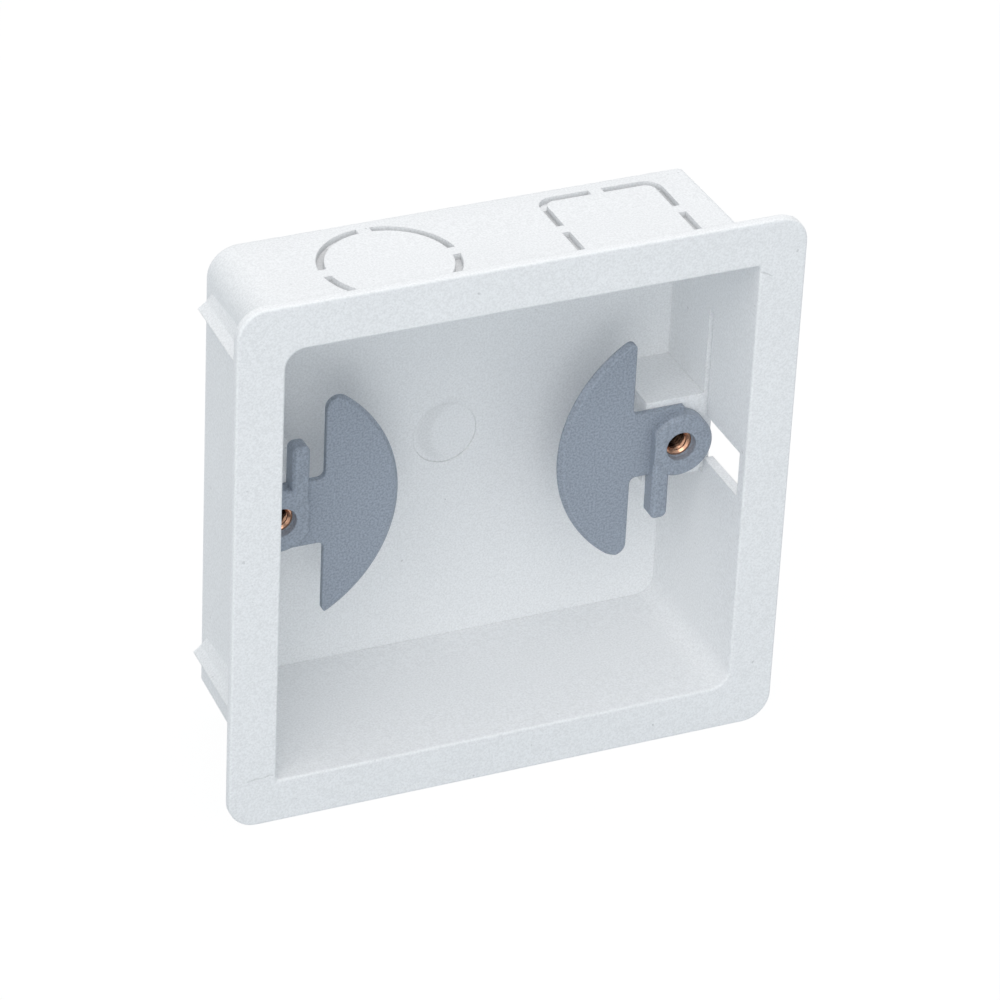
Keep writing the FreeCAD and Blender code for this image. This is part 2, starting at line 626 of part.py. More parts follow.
def make_insert(label, side, turn):
    """One brass insert, turned about its screw axis, then set in its place."""
    body = doc.addObject("PartDesign::Body", label)
    body.Label = label
    sketch = new_sketch(body, f"{label}_outline", "XZ_Plane", "-insert_front")
    draw_circle(sketch, None, None, "insert_radius")
    draw_circle(sketch, None, None, "thread_radius")
    sleeve = extrude(body, "Pad", f"{label}_sleeve", sketch, "insert_length", flip=True)
    mouth = value("thread_radius") + NEAR
    front = value("insert_front")
    bevel_edges(
        body, f"{label}_chamfer", sleeve, "thread_chamfer",
        lambda p: abs(p.y - front) < NEAR and math.hypot(p.x, p.z) < mouth,
    )
    place(body, side, turn)
    return body


def place(body, side, turn):
    """Sets a part on its screw axis."""
    body.Placement = FreeCAD.Placement(
        FreeCAD.Vector(0, 0, 0), FreeCAD.Rotation(FreeCAD.Vector(0, 1, 0), turn)
    )
    tie(body, "Placement.Base.x", side)


def main():
    """Builds, tests and writes every part."""
    fill_sheet()
    bodies = [
        make_box(),
        make_lug("right_lug", "axis_x", 0),
        make_lug("left_lug", "-axis_x", 180),
        make_insert("right_insert", "axis_x", 0),
        make_insert("left_insert", "-axis_x", 180),
    ]
    doc.recompute()
    for item in doc.Objects:
        if "Invalid" in item.State or "Error" in item.State:
            raise RuntimeError(f"{item.Name} did not build: {item.State}")
    os.makedirs("parts", exist_ok=True)
    for body in bodies:
        shape = body.Shape
        if shape.isNull() or not shape.isValid() or len(shape.Solids) != 1:
            raise RuntimeError(f"{body.Label} is not one sound solid")
        shape.exportStep(f"parts/{body.Label}.step")
        print(body.Label, round(shape.Volume, 2), shape.BoundBox)


main()
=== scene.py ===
"""Dresses the drywall back box: finishes, threaded inserts, floor, light and camera.

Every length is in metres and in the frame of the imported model: +X to the right seen from the room,
+Y into the wall, +Z up, with the origin in the middle of the wall face.
"""
import logging
import math
from dataclasses import dataclass
from enum import Enum
from typing import Any, Optional, Union

import bmesh
import bpy
from mathutils import Matrix, Vector


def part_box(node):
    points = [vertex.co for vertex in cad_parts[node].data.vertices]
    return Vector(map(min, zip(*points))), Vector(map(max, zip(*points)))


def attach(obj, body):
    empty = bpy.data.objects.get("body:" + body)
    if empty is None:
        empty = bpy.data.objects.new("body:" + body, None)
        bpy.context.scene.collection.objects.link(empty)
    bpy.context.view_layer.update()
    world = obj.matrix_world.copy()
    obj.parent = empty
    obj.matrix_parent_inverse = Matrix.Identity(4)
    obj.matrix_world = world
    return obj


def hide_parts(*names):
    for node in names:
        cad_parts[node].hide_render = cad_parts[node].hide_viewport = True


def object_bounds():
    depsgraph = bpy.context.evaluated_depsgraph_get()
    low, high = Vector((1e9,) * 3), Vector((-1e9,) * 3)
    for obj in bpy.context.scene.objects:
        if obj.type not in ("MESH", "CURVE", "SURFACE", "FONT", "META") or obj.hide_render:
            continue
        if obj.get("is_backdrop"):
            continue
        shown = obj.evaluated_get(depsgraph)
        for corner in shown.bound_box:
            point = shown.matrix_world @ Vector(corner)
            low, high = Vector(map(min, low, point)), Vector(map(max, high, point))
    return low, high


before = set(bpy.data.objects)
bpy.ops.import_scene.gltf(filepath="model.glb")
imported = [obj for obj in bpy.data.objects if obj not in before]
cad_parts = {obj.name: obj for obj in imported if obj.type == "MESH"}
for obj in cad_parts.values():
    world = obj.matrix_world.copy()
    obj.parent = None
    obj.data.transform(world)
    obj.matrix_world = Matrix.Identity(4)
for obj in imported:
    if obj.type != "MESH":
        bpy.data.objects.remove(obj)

MM = 0.001
Colour = tuple[float, float, float]
Spot = tuple[float, float, float]
Span = tuple[float, float]
WHOLE: Span = (0.0, 1.0)
log = logging.getLogger("back_box")


class Side(Enum):
    """Which lug a piece belongs to, seen from the room."""

    RIGHT = "right"
    LEFT = "left"

    @property
    def label(self) -> str:
        """Name of the side as the nodes spell it."""
        return self.value


class Slot(Enum):
    """Material slots of the record."""

    WHITE = "white_plastic"
    GREY = "grey_plastic"
    BRASS = "insert_brass"


class Graph:
    """The shader nodes of one material or world."""

    def __init__(self, owner: Any) -> None:
        """Empties the owner's node tree.

        Args:
            owner: a material or a world.
        """
        owner.use_nodes = True
        self.tree = owner.node_tree
        self.tree.nodes.clear()

    def add(self, kind: str, **settings: Any) -> Any:
        """Adds a node and sets its properties.

        Args:
            kind: node type without the ShaderNode prefix.
            settings: properties of the node.

        Returns:
            The new node.
        """
        node = self.tree.nodes.new("ShaderNode" + kind)
        for key, value in settings.items():
            setattr(node, key, value)
        return node

    def link(self, source: Any, target: Any) -> None:
        """Joins an output to an input."""
        self.tree.links.new(source, target)

    def principled(self) -> Any:
        """Adds a Principled shader and joins it to the material's output.

        Returns:
            The shader node.
        """
        shader = self.add("BsdfPrincipled")
        output = self.add("OutputMaterial")
        self.link(shader.outputs["BSDF"], output.inputs["Surface"])
        return shader

    def blend(self, share: Any, first: Any, second: Any, output: str) -> None:
        """Mixes two shaders and joins the result to the output.

        Args:
            share: socket with the share of the second shader.
            first: node of the first shader.
            second: node of the second shader.
            output: type of the output node.
        """
        mix = self.add("MixShader")
        self.link(share, mix.inputs["Fac"])
        self.link(first.outputs[0], mix.inputs[1])
        self.link(second.outputs[0], mix.inputs[2])
        self.link(mix.outputs[0], self.add(output).inputs["Surface"])

    def place(self) -> Any:
        """Adds the coordinate of a point in its piece's own frame."""
        return self.add("TexCoord").outputs["Object"]

    def split(self, place: Any) -> tuple[Any, ...]:
        """Takes a coordinate apart.

        Args:
            place: the coordinate socket.

        Returns:
            The sockets of X, Y and Z.
        """
        node = self.add("SeparateXYZ")
        self.link(place, node.inputs[0])
        return tuple(node.outputs)

    def math(self, operation: str, first: Any, second: Any = None, clamp: bool = False) -> Any:
        """Adds a Math node.

        Args:
            operation: Blender's name of the operation.
            first: a socket or a number.
            second: a socket or a number, where the operation takes two.
            clamp: whether the result is held between 0 and 1.

        Returns:
            The output socket.
        """
        node = self.add("Math", operation=operation, use_clamp=clamp)
        for socket, value in zip(node.inputs, (first, second)):
            if isinstance(value, (int, float)):
                socket.default_value = value
            elif value is not None:
                self.link(value, socket)
        return node.outputs[0]

    def fold(self, operation: str, values: list[Any]) -> Any:
        """Joins a list of values by one operation.

        Args:
            operation: Blender's name of an operation that takes two values.
            values: sockets or numbers, the first of them a socket.

        Returns:
            The output socket.
        """
        total = values[0]
        for value in values[1:]:
            total = self.math(operation, total, value)
        return total

    def distance(self, x: Any, z: Any, middle_x: float, middle_z: float) -> Any:
        """Measures how far a point lies from an axis along Y.

        Args:
            x: socket of the point's X.
            z: socket of the point's Z.
            middle_x: X of the axis.
            middle_z: Z of the axis.

        Returns:
            The distance socket.
        """
        dx = self.math("SUBTRACT", x, middle_x)
        dz = self.math("SUBTRACT", z, middle_z)
        square = self.math("ADD", self.math("MULTIPLY", dx, dx), self.math("MULTIPLY", dz, dz))
        return self.math("SQRT", square)

    def noise(self, place: Any, grain: float, detail: float = 1.0) -> Any:
        """Adds a noise pattern.

        Args:
            place: the coordinate socket.
            grain: size of one patch, in metres.
            detail: octaves of finer noise.

        Returns:
            The noise socket, about 0.5 on average.
        """
        node = self.add("TexNoise")
        node.inputs["Scale"].default_value = 1.0 / grain
        node.inputs["Detail"].default_value = detail
        self.link(place, node.inputs["Vector"])
        return node.outputs["Fac"]

    def ramp(self, source: Any, span: Span, start: float, end: float) -> Any:
        """Adds a smooth change from one value to another.

        Args:
            source: the socket to read.
            span: source values where the change begins and where it ends.
            start: result where the change begins.
            end: result where it ends.

        Returns:
            The output socket.
        """
        node = self.add("MapRange", interpolation_type="SMOOTHSTEP")
        for name, value in zip(("From Min", "From Max", "To Min", "To Max"), (*span, start, end)):
            node.inputs[name].default_value = value
        self.link(source, node.inputs["Value"])
        return node.outputs["Result"]

    def tint(self, colour: Colour, shade: Any) -> Any:
        """Makes a colour lighter or darker.

        Args:
            colour: the colour.
            shade: socket of the shade, 1 for the colour itself.

        Returns:
            The colour socket.
        """
        node = self.add("VectorMath", operation="SCALE")
        node.inputs[0].default_value = colour
        self.link(shade, node.inputs["Scale"])
        return node.outputs[0]

    def bump(
        self, height: Any, depth: float, strength: float = 1.0, normal: Any = None, sunk: bool = False
    ) -> Any:
        """Adds a relief to the surface.

        Args:
            height: socket of the relief, from 0 to 1.
            depth: depth of the relief, in metres.
            strength: share of the relief that shows.
            normal: socket of the normal that it starts from, where it isn't the surface's own.
            sunk: whether the relief goes into the surface.

        Returns:
            The normal socket.
        """
        node = self.add("Bump", invert=sunk)
        node.inputs["Strength"].default_value = strength
        node.inputs["Distance"].default_value = depth
        self.link(height, node.inputs["Height"])
        if normal is not None:
            self.link(normal, node.inputs["Normal"])
        return node.outputs["Normal"]


@dataclass(frozen=True)
class WitnessRing:
    """The round mark that an ejector pin leaves on the front of the flange.

    Attributes:
        x: X of the middle.
        z: Z of the middle.
        radius: radius of the mark.
        core: half the width of its full line.
        fade: half the width where the line ends.
        weight: how strong the line is, 1 for the strongest mark.
    """

    x: float
    z: float
    radius: float
    core: float = 0.04 * MM
    fade: float = 0.16 * MM
    weight: float = 0.22

    def draw(self, graph: Graph, x: Any, z: Any) -> Any:
        """Draws the ring.

        Args:
            graph: the nodes of the finish.
            x: socket of the point's X.
            z: socket of the point's Z.

        Returns:
            A socket that holds the ring's weight on the ring and 0 elsewhere.
        """
        middle = graph.distance(x, z, self.x, self.z)
        away = graph.math("ABSOLUTE", graph.math("SUBTRACT", middle, self.radius))
        return graph.ramp(away, (self.core, self.fade), self.weight, 0.0)


@dataclass(frozen=True)
class FlowLine:
    """A hairline on the flange where two streams of plastic met.

    Attributes:
        x: X of the middle.
        z: Z of the middle.
        angle: slope of the line, seen from the room.
        length: length over all.
        core: half the width of its full line.
        fade: half the width where the line ends.
        solid_share: share of the length before the ends fade.
    """

    x: float
    z: float
    angle: float
    length: float
    core: float = 0.05 * MM
    fade: float = 0.17 * MM
    solid_share: float = 0.8

    def draw(self, graph: Graph, x: Any, z: Any, wander: Any) -> Any:
        """Draws the hairline.

        Args:
            graph: the nodes of the finish.
            x: socket of the point's X.
            z: socket of the point's Z.
            wander: socket with how far the line strays to the side.

        Returns:
            A socket that is 1 on the line and 0 elsewhere.
        """
        c, s = math.cos(self.angle), math.sin(self.angle)
        dx = graph.math("SUBTRACT", x, self.x)
        dz = graph.math("SUBTRACT", z, self.z)
        along = graph.math("ADD", graph.math("MULTIPLY", dx, c), graph.math("MULTIPLY", dz, s))
        across = graph.math("SUBTRACT", graph.math("MULTIPLY", dz, c), graph.math("MULTIPLY", dx, s))
        away = graph.math("ABSOLUTE", graph.math("ADD", across, wander))
        body = graph.ramp(away, (self.core, self.fade), 1.0, 0.0)
        half = self.length / 2
        ends = graph.ramp(graph.math("ABSOLUTE", along), (self.solid_share * half, half), 1.0, 0.0)
        return graph.math("MULTIPLY", body, ends)


@dataclass(frozen=True)
class GrooveShade:
    """Painted shade down in the knockout grooves of the top and the bottom wall.

    Attributes:
        floor: height of the groove's floor from the middle of the box.
        brim: height of the wall's outside.
        half_width: how far to each side the grooves reach.
        front: Y where the grooves begin.
        tone: shade on the floor, 1 for none.
    """

    floor: float
    brim: float
    half_width: float
    front: float
    tone: float

    def draw(self, graph: Graph, place: Any) -> Any:
        """Paints shade on what lies below the brim of a groove.

        Args:
            graph: the nodes of the finish.
            place: the coordinate socket.

        Returns:
            A socket that is 1 outside the grooves.
        """
        x, y, z = graph.split(place)
        height = graph.math("ABSOLUTE", z)
        shadow = graph.fold("MULTIPLY", [
            graph.math("LESS_THAN", graph.math("ABSOLUTE", x), self.half_width),
            graph.math("GREATER_THAN", y, self.front),
            graph.math("GREATER_THAN", height, self.floor),
            graph.ramp(height, (self.floor, self.brim), 1.0 - self.tone, 0.0),
        ])
        return graph.math("SUBTRACT", 1.0, shadow)


@dataclass(frozen=True)
class DimpleShade:
    """Painted shade: a soft dark crescent inside the back where the dimple's slope falls in shade,
    between a circle and the same circle moved aside.

    Attributes:
        x: X of the circle's middle.
        z: Z of the circle's middle.
        radius: radius of the circle.
        aside: how far the second circle is moved in X and in Z.
        blur: half the width of the soft rim.
        front: Y in front of the inside of the back.
        rear: Y behind it.
        tone: painted shade in the crescent, 1 for none.
    """

    x: float
    z: float
    radius: float
    aside: tuple[float, float]
    blur: float
    front: float
    rear: float
    tone: float

    def draw(self, graph: Graph, place: Any) -> Any:
        """Paints the shade of the crescent.

        Args:
            graph: the nodes of the finish.
            place: the coordinate socket.

        Returns:
            A socket that is 1 outside the crescent.
        """
        x, y, z = graph.split(place)
        rim = (self.radius - self.blur, self.radius + self.blur)
        middle = graph.distance(x, z, self.x, self.z)
        moved = graph.distance(x, z, self.x + self.aside[0], self.z + self.aside[1])
        crescent = graph.fold("MULTIPLY", [
            graph.ramp(middle, rim, 1.0, 0.0),
            graph.ramp(moved, rim, 0.0, 1.0),
            graph.math("GREATER_THAN", y, self.front),
            graph.math("LESS_THAN", y, self.rear),
        ])
        return graph.ramp(crescent, WHOLE, 1.0, self.tone)


@dataclass(frozen=True)
class MattPlastic:
    """A moulded plastic with a fine matt grain.

    Attributes:
        name: name of the material.
        colour: colour of the plastic.
        speck: how far the fine grain lightens and darkens the colour.
        cloud: how far the wide clouds do.
        roughness: roughness on average.
        grain: size of one grain.
        grain_depth: depth of the grain's relief.
        edge: radius that the edges are shaded with.
        highlight_strength: how much lighter the painted edge highlight makes the edges.
        edge_turn: cosine of the turn at which the painted edge highlight is full.
        edge_samples: samples for the shaded edges.
        grain_detail: octaves of the grain.
        grain_strength: share of the grain's relief that shows.
        cloud_size: size of one cloud.
        cloud_detail: octaves of the clouds.
        tone_span: noise values between which the colour changes.
        gloss_span: noise values between which the roughness changes.
        gloss_spread: how far the roughness strays from its average.
        specular: strength of the reflection.
        dust: how dark the dust specks are.
        dust_size: size of the pattern that the specks are taken from.
        dust_span: noise values between which a speck begins and is full.
        rings: round marks on the flange.
        lines: hairlines on the flange.
        line_wander: how far a hairline strays from side to side.
        line_wave: length of one bend of a hairline.
        front: Y that the front of the flange lies before.
        mark_depth: depth of the rings and hairlines.
        mark_shade: how dark they are.
        groove: painted shade in the knockout grooves.
        dimple_shade: the painted shade of the dimple inside the back.
    """

    name: str
    colour: Colour
    speck: float
    cloud: float
    roughness: float
    grain: float
    grain_depth: float
    edge: float
    highlight_strength: float = 0.0
    edge_turn: float = 0.93
    edge_samples: int = 3
    grain_detail: float = 2.0
    grain_strength: float = 0.5
    cloud_size: float = 18.0 * MM
    cloud_detail: float = 3.0
    tone_span: Span = (0.25, 0.75)
    gloss_span: Span = (0.3, 0.7)
    gloss_spread: float = 0.06
    specular: float = 0.35
    dust: float = 0.0
    dust_size: float = 0.9 * MM
    dust_span: Span = (0.86, 0.9)
    rings: tuple[WitnessRing, ...] = ()
    lines: tuple[FlowLine, ...] = ()
    line_wander: float = 0.5 * MM
    line_wave: float = 1.2 * MM
    front: float = -1.2 * MM
    mark_depth: float = 0.03 * MM
    mark_shade: float = 0.15
    groove: Optional[GrooveShade] = None
    dimple_shade: Optional[DimpleShade] = None

    def material(self) -> bpy.types.Material:
        """Builds the finish.

        Returns:
            The material.
        """
        material = bpy.data.materials.new(self.name)
        graph = Graph(material)
        shader = graph.principled()
        shader.inputs["Specular IOR Level"].default_value = self.specular
        place = graph.place()
        fine = graph.noise(place, self.grain, self.grain_detail)
        marks = self.marks(graph, place)
        edges = graph.add("Bevel", samples=self.edge_samples)
        edges.inputs["Radius"].default_value = self.edge
        rounded = edges.outputs["Normal"]

        tones = self.tones(graph, place, fine)
        if marks is not None:
            tones.append(graph.ramp(marks, WHOLE, 1.0, 1.0 - self.mark_shade))
        # Painted highlight: the edges are made lighter where the rounded normal turns.
        if self.highlight_strength:
            tones.append(self.painted_edge_highlight(graph, rounded))
        colour = graph.tint(self.colour, graph.fold("MULTIPLY", tones))
        graph.link(colour, shader.inputs["Base Color"])
        low, high = self.roughness - self.gloss_spread, self.roughness + self.gloss_spread
        graph.link(graph.ramp(fine, self.gloss_span, low, high), shader.inputs["Roughness"])

        normal = graph.bump(fine, self.grain_depth, self.grain_strength, rounded)
        if marks is not None:
            normal = graph.bump(marks, self.mark_depth, normal=normal, sunk=True)
        graph.link(normal, shader.inputs["Normal"])
        return material

    def tones(self, graph: Graph, place: Any, fine: Any) -> list[Any]:
        """Lists the patterns that make the colour lighter or darker.

        Args:
            graph: the nodes of the finish.
            place: the coordinate socket.
            fine: socket of the fine grain.

        Returns:
            Sockets to multiply, each about 1 on average.
        """
        coarse = graph.noise(place, self.cloud_size, self.cloud_detail)
        tones = [
            graph.ramp(fine, self.tone_span, 1.0 - self.speck, 1.0 + self.speck),
            graph.ramp(coarse, self.tone_span, 1.0 - self.cloud, 1.0 + self.cloud),
        ]
        if self.dust:
            dots = graph.noise(place, self.dust_size, detail=0.0)
            tones.append(graph.ramp(dots, self.dust_span, 1.0, 1.0 - self.dust))
        if self.groove is not None:
            tones.append(self.groove.draw(graph, place))
        # Painted shade: a soft crescent standing in for the shading of the dimple inside the back.
        if self.dimple_shade is not None:
            tones.append(self.dimple_shade.draw(graph, place))
        return tones

    def painted_edge_highlight(self, graph: Graph, rounded: Any) -> Any:
        """Paints a highlight on the edges, where the rounded normal turns away from the surface's own.

        Args:
            graph: the nodes of the finish.
            rounded: socket of the rounded normal.

        Returns:
            A socket that is 1 away from the edges.
        """
        turned = graph.add("VectorMath", operation="DOT_PRODUCT")
        graph.link(rounded, turned.inputs[0])
        graph.link(graph.add("NewGeometry").outputs["Normal"], turned.inputs[1])
        return graph.ramp(turned.outputs["Value"], (self.edge_turn, 1.0), 1.0 + self.highlight_strength, 1.0)

    def marks(self, graph: Graph, place: Any) -> Optional[Any]:
        """Draws the rings and hairlines on the front of the flange.

        Args:
            graph: the nodes of the finish.
            place: the coordinate socket.

        Returns:
            A socket that is above 0 on a mark and 0 elsewhere, or None where there are no marks.
        """
        if not self.rings and not self.lines:
            return None
        x, y, z = graph.split(place)
        wave = graph.math("MULTIPLY", graph.noise(place, self.line_wave), self.line_wander)
        wander = graph.math("SUBTRACT", wave, self.line_wander / 2)
        drawn = [ring.draw(graph, x, z) for ring in self.rings]
        drawn += [line.draw(graph, x, z, wander) for line in self.lines]
        facing = graph.math("LESS_THAN", y, self.front)
        return graph.math("MULTIPLY", graph.fold("MAXIMUM", drawn), facing)


@dataclass(frozen=True)
class MachinedBrass:
    """Turned brass with random tarnish stains, and painted shade down in the bore.

    Attributes:
        name: name of the material.
        colour: colour of clean brass.
        tarnish: how dark the stains are.
        roughness: roughness of clean brass.
        tool_pitch: size of the tool marks.
        bright_to: Y down to which the mouth keeps its full colour, before the painted shade of the bore
            begins.
        dark_from: Y from which the painted shade of the bore is full.
        bore_shade: painted shade down in the bore.
        tool_depth: depth of the tool marks.
        tool_strength: share of their relief that shows.
        stain_size: size of one stain.
        stain_detail: octaves of the stains.
        stain_span: noise values between which a stain begins and is full.
        gloss_span: noise values between which the roughness changes.
        gloss_spread: how much rougher a stain is.
    """

    name: str
    colour: Colour
    tarnish: float
    roughness: float
    tool_pitch: float
    bright_to: float
    dark_from: float
    bore_shade: float
    tool_depth: float = 0.01 * MM
    tool_strength: float = 0.25
    stain_size: float = 0.9 * MM
    stain_detail: float = 3.0
    stain_span: Span = (0.35, 0.7)
    gloss_span: Span = (0.3, 0.7)
    gloss_spread: float = 0.15

    def material(self) -> bpy.types.Material:
        """Builds the finish.

        Returns:
            The material.
        """
        material = bpy.data.materials.new(self.name)
        graph = Graph(material)
        shader = graph.principled()
        shader.inputs["Metallic"].default_value = 1.0
        place = graph.place()
        depth = graph.split(place)[1]
        stain = graph.noise(place, self.stain_size, self.stain_detail)

        shade = graph.fold("MULTIPLY", [
            # Painted shade: the colour darkens with depth into the bore.
            graph.ramp(depth, (self.bright_to, self.dark_from), 1.0, self.bore_shade),
            graph.ramp(stain, self.stain_span, 1.0, 1.0 - self.tarnish),
        ])
        graph.link(graph.tint(self.colour, shade), shader.inputs["Base Color"])
        gloss = graph.ramp(stain, self.gloss_span, self.roughness, self.roughness + self.gloss_spread)
        graph.link(gloss, shader.inputs["Roughness"])
        tool = graph.noise(place, self.tool_pitch)
        graph.link(graph.bump(tool, self.tool_depth, self.tool_strength), shader.inputs["Normal"])
        return material


Finish = Union[MattPlastic, MachinedBrass]

WHITE_PLASTIC = MattPlastic(
    name="white_plastic_finish",
    colour=(0.9, 0.912, 0.922),
    speck=0.075,
    cloud=0.008,
    roughness=0.55,
    grain=0.28 * MM,
    grain_depth=0.02 * MM,
    edge=0.18 * MM,
    dust=0.2,
    rings=(
        WitnessRing(x=0.2 * MM, z=37.8 * MM, radius=2.6 * MM),
        WitnessRing(x=0.2 * MM, z=-37.8 * MM, radius=2.6 * MM),
        WitnessRing(x=-37.2 * MM, z=37.2 * MM, radius=2.6 * MM),
        WitnessRing(x=-36.9 * MM, z=-37.3 * MM, radius=3.7 * MM),
    ),
    lines=(
        FlowLine(x=35.6 * MM, z=33.3 * MM, angle=math.radians(-23), length=2.4 * MM),
        FlowLine(x=-37.0 * MM, z=-33.6 * MM, angle=math.radians(5), length=4.4 * MM),
    ),
    # Painted shade: the colour darkens down in the knockout grooves.
    groove=GrooveShade(
        floor=34.75 * MM,
        brim=35.75 * MM,
        half_width=32.0 * MM,
        front=3.0 * MM,
        tone=0.72,
    ),
    # Painted shade of the dimple inside the back, a soft crescent.
    dimple_shade=DimpleShade(
        x=0.7 * MM,
        z=0.4 * MM,
        radius=4.9 * MM,
        aside=(2.2 * MM, -0.5 * MM),
        blur=0.9 * MM,
        front=23.5 * MM,
        rear=25.9 * MM,
        tone=0.93,
    ),
)
GREY_PLASTIC = MattPlastic(
    name="grey_plastic_finish",
    colour=(0.318, 0.36, 0.424),
    speck=0.2,
    cloud=0.02,
    roughness=0.5,
    grain=0.3 * MM,
    grain_depth=0.025 * MM,
    edge=0.4 * MM,
    # Painted highlight along the lug's edges.
    highlight_strength=0.25,
)
INSERT_BRASS = MachinedBrass(
    name="insert_brass_finish",
    colour=(0.74, 0.43, 0.29),
    tarnish=0.35,
    roughness=0.17,
    tool_pitch=0.12 * MM,
    # bright_to, dark_from and bore_shade set the painted shade down in the bore.
    bright_to=11.8 * MM,
    dark_from=12.9 * MM,
    bore_shade=0.06,
)


@dataclass
class BackBox:
    """The white moulding: flange, tray, knockouts and lug seats."""

    node: str = "back_box"
    finish: Finish = WHITE_PLASTIC
    slot: Slot = Slot.WHITE

    def dress(self) -> bpy.types.Object:
        """Gives the moulding its finish and returns the node's object."""
        return dress_node(self.node, self.finish)


@dataclass
class SwingLug:
    """One grey lug: wing, neck, finger rib, boss and pivot."""

    side: Side
    finish: Finish = GREY_PLASTIC
    slot: Slot = Slot.GREY

    def dress(self) -> bpy.types.Object:
        """Gives the lug its finish and returns the node's object."""
        return dress_node(f"{self.side.label}_lug", self.finish)


@dataclass
class ThreadedInsert:
    """One brass insert: knurled outside, chamfered mouth and an M3.5 thread.

    Attributes:
        side: the lug that holds it.
        radius: outside radius.
        bore: radius of the thread's crests.
        chamfer: chamfer of the mouth.
        edge_break: small chamfer on the outside edges.
        thread_depth: depth of the thread.
        thread_flat: share of the depth by which the flanks are cut flat at crest and root.
        pitch: pitch of the thread.
        run_turns: turns in which the thread fades out at each end.
        knurl_depth: depth of the knurl.
        knurl_teeth: teeth of the knurl.
        plain_end: length at each end before the knurl is full.
        around: points round one ring.
        rows_per_turn: rings in one turn of the thread.
        smooth_degrees: edges that turn more than this stay sharp.
        finish: the brass.
        slot: the record's slot; not used.
    """

    side: Side
    radius: float = 2.09 * MM
    bore: float = 1.45 * MM
    chamfer: float = 0.3 * MM
    edge_break: float = 0.1 * MM
    thread_depth: float = 0.3 * MM
    thread_flat: float = 0.125
    pitch: float = 0.6 * MM
    run_turns: float = 0.5
    knurl_depth: float = 0.07 * MM
    knurl_teeth: int = 32
    plain_end: float = 0.35 * MM
    around: int = 64
    rows_per_turn: int = 8
    smooth_degrees: float = 40.0
    finish: Finish = INSERT_BRASS
    slot: Slot = Slot.BRASS

    @property
    def node(self) -> str:
        """Name of the node that the piece stands for."""
        return f"{self.side.label}_insert"

    def build(self) -> bpy.types.Object:
        """Turns the section about the screw axis and cuts the thread.

        Returns:
            The new piece.
        """
        low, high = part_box(self.node)
        axis = (low + high) / 2
        front, rear = low.y, high.y
        mesh = bmesh.new()
        loops = [self.ring(mesh, axis, *spot) for spot in self.outside(front, rear)]
        loops += [self.thread_ring(mesh, axis, y, front, rear) for y in self.thread_rows(front, rear)]
        for first, second in zip(loops, loops[1:] + loops[:1]):
            self.bridge(mesh, first, second)
        bmesh.ops.recalc_face_normals(mesh, faces=mesh.faces)
        data = bpy.data.meshes.new(f"{self.side.label}_threaded_insert")
        mesh.to_mesh(data)
        mesh.free()
        piece = bpy.data.objects.new(data.name, data)
        bpy.context.scene.collection.objects.link(piece)
        return piece

    def outside(self, front: float, rear: float) -> list[tuple[float, float, bool]]:
        """Lists the rings from the rear bore round the outside to the mouth.

        Args:
            front: Y of the front face.
            rear: Y of the rear face.

        Returns:
            Radius, Y and whether the ring is knurled, in order.
        """
        end_radius = self.radius - self.edge_break
        return [
            (end_radius, rear, False),
            (self.radius, rear - self.edge_break, False),
            (self.radius, rear - self.plain_end, True),
            (self.radius, front + self.plain_end, True),
            (self.radius, front + self.edge_break, False),
            (end_radius, front, False),
            (self.bore + self.chamfer, front, False),
        ]

    def thread_rows(self, front: float, rear: float) -> list[float]:
        """Lists the Y of the rings of the bore, from the mouth to the rear.

        Args:
            front: Y of the front face.
            rear: Y of the rear face.

        Returns:
            The Y of each ring.
        """
        start = front + self.chamfer
        count = max(2, round((rear - start) / self.pitch * self.rows_per_turn))
        return [start + (rear - start) * i / count for i in range(count + 1)]

    def ring(
        self, mesh: bmesh.types.BMesh, axis: Vector, radius: float, y: float, knurled: bool
    ) -> list[Any]:
        """Adds one ring of points.

        Args:
            mesh: the mesh under way.
            axis: a point of the screw axis.
            radius: radius of the ring.
            y: place along the axis.
            knurled: whether every other tooth is cut back.

        Returns:
            The points in order.
        """
        points = []
        for i in range(self.around):
            angle = 2 * math.pi * i / self.around
            cut = self.knurl_depth * (0.5 - 0.5 * math.cos(self.knurl_teeth * angle)) if knurled else 0.0
            points.append(self.point(mesh, axis, radius - cut, angle, y))
        return points

    def thread_ring(
        self, mesh: bmesh.types.BMesh, axis: Vector, y: float, front: float, rear: float
    ) -> list[Any]:
        """Adds one ring of points on the thread, which fades out at both ends.

        Args:
            mesh: the mesh under way.
            axis: a point of the screw axis.
            y: place along the axis.
            front: Y of the front face.
            rear: Y of the rear face.

        Returns:
            The points in order.
        """
        run = self.run_turns * self.pitch
        share = min(1.0, (y - front - self.chamfer) / run, (rear - y) / run)
        points = []
        for i in range(self.around):
            turn = i / self.around
            phase = ((y - front) / self.pitch - turn) % 1.0
            flank = 1.0 - abs(2.0 * phase - 1.0)
            profile = min(1.0, max(0.0, (1.0 + 2.0 * self.thread_flat) * flank - self.thread_flat))
            radius = self.bore + self.thread_depth * profile * share
            points.append(self.point(mesh, axis, radius, 2 * math.pi * turn, y))
        return points

    @staticmethod
    def point(mesh: bmesh.types.BMesh, axis: Vector, radius: float, angle: float, y: float) -> Any:
        """Adds one point at a radius and an angle round the screw axis."""
        spot = (axis.x + radius * math.cos(angle), y, axis.z + radius * math.sin(angle))
        return mesh.verts.new(spot)

    @staticmethod
    def bridge(mesh: bmesh.types.BMesh, first: list[Any], second: list[Any]) -> None:
        """Joins two rings by quads.

        Args:
            mesh: the mesh under way.
            first: points of one ring, in order.
            second: points of the next ring, in order.
        """
        count = len(first)
        for i in range(count):
            j = (i + 1) % count
            mesh.faces.new((first[i], first[j], second[j], second[i]))

